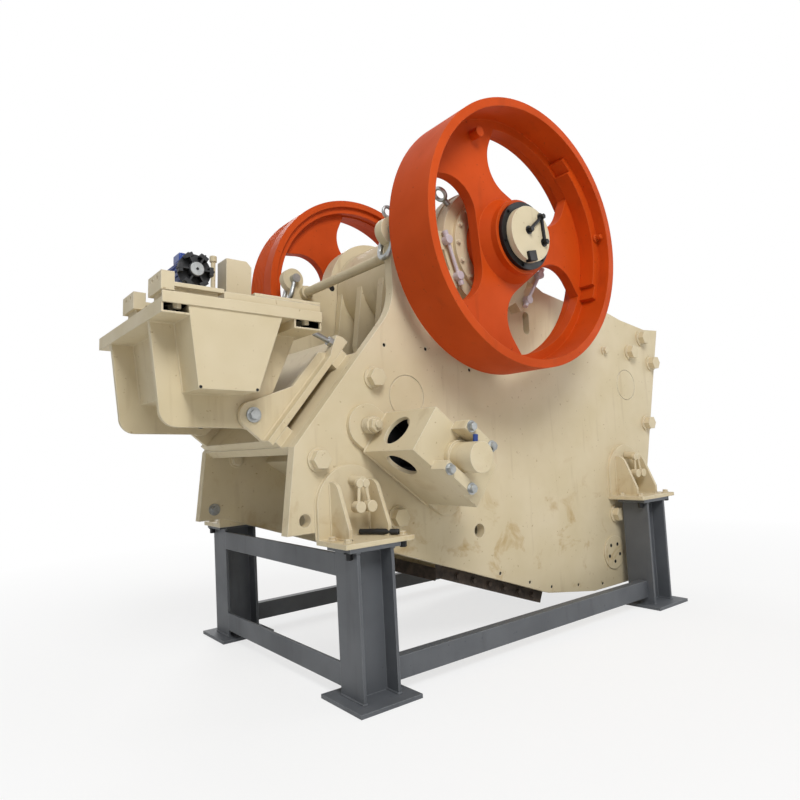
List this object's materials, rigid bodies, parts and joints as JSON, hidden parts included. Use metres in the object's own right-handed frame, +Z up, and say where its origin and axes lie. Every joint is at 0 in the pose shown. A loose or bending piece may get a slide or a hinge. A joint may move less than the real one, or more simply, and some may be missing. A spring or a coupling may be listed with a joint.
{
  "type": "jaw crusher on a steel stand",
  "caption": "Modular jaw crusher with spoked flywheels, toothed jaws, hydraulic wedge adjusters and a tilting motor base, standing on a welded test frame.",
  "frame": {"origin": "on the floor, at the middle of the overall box", "axes": "+Z up, +X towards the feed end, away from the motor base, +Y across the machine"},
  "size_m": [4.0266, 2.53, 3.234],
  "materials": {
    "cream_paint": "satin",
    "orange_paint": "satin",
    "dark_grey_paint": "satin",
    "bare_steel": "machined",
    "galvanised": "galvanised",
    "manganese_steel": "as cast",
    "black_steel": "oiled",
    "blue_paint": "gloss",
    "black_plastic": "moulded"
  },
  "bodies": {
    "frame": {"side_plate_near": "cream_paint", "side_plate_far": "cream_paint", "front_frame": "cream_paint", "rear_frame": "cream_paint", "toggle_beam": "cream_paint", "toggle_plate": "manganese_steel", "fixed_jaw_plate": "manganese_steel", "cheek_plates": "manganese_steel", "lower_beams": "manganese_steel", "tie_tube": "cream_paint", "bearing_housings": "cream_paint", "bearing_covers": "cream_paint", "plate_bolts": "cream_paint", "cover_discs": "cream_paint", "wedge_bracket_near": "cream_paint", "wedge_bracket_far": "cream_paint", "wedge_cylinders": "cream_paint", "wedge_spring_bolts": "cream_paint", "foot_toggle_near": "cream_paint", "foot_toggle_far": "cream_paint", "foot_feed_near": "cream_paint", "foot_feed_far": "cream_paint", "leg_toggle_near": "dark_grey_paint", "leg_toggle_far": "dark_grey_paint", "leg_feed_near": "dark_grey_paint", "leg_feed_far": "dark_grey_paint", "end_rails": "dark_grey_paint", "side_rails": "dark_grey_paint", "motor_bracket": "cream_paint", "pivot_pins": "bare_steel", "tension_rods": "galvanised"},
    "rotor": {"eccentric_shaft": "bare_steel", "flywheel_near": "orange_paint", "flywheel_far": "orange_paint", "counterweights": "orange_paint", "lock_rings": "black_steel", "end_caps": "cream_paint"},
    "moving_jaw": {"pitman": "cream_paint", "moving_jaw_plate": "manganese_steel"},
    "motor_base": {"motor_base": "cream_paint", "slide_rails": "cream_paint", "pump_motor": "blue_paint", "oil_tank": "cream_paint"},
    "fan": {"pump_fan": "black_plastic"},
    "near_shackle": {"shackle_near": "galvanised"},
    "far_shackle": {"shackle_far": "galvanised"}
  },
  "joints": [
    {"name": "shaft_spin", "type": "hinge", "parent": "frame", "child": "rotor", "pos_m": [0.0023, 0, 2.434], "axis": [0, 1, 0], "continuous": true},
    {"name": "jaw_on_eccentric", "type": "hinge", "parent": "rotor", "child": "moving_jaw", "pos_m": [-0.00384, 0, 2.41709], "axis": [0, 1, 0], "continuous": true},
    {"name": "motor_base_tilt", "type": "hinge", "parent": "frame", "child": "motor_base", "pos_m": [-1.5011, 0, 1.4284], "axis": [0, 1, 0], "range_deg": [-4, 2]},
    {"name": "fan_spin", "type": "hinge", "parent": "motor_base", "child": "fan", "pos_m": [-1.7691, -0.35, 2.1678], "axis": [0, 1, 0], "continuous": true},
    {"name": "near_shackle_swing", "type": "hinge", "parent": "frame", "child": "near_shackle", "pos_m": [-0.6977, -0.601, 2.472], "axis": [0, 1, 0], "range_deg": [0, 140]},
    {"name": "far_shackle_swing", "type": "hinge", "parent": "frame", "child": "far_shackle", "pos_m": [-0.6977, 0.601, 2.472], "axis": [0, 1, 0], "range_deg": [0, 140]}
  ],
  "couplings": [
    {"joint": "jaw_on_eccentric", "follows": "shaft_spin", "ratio": -1}
  ]
}
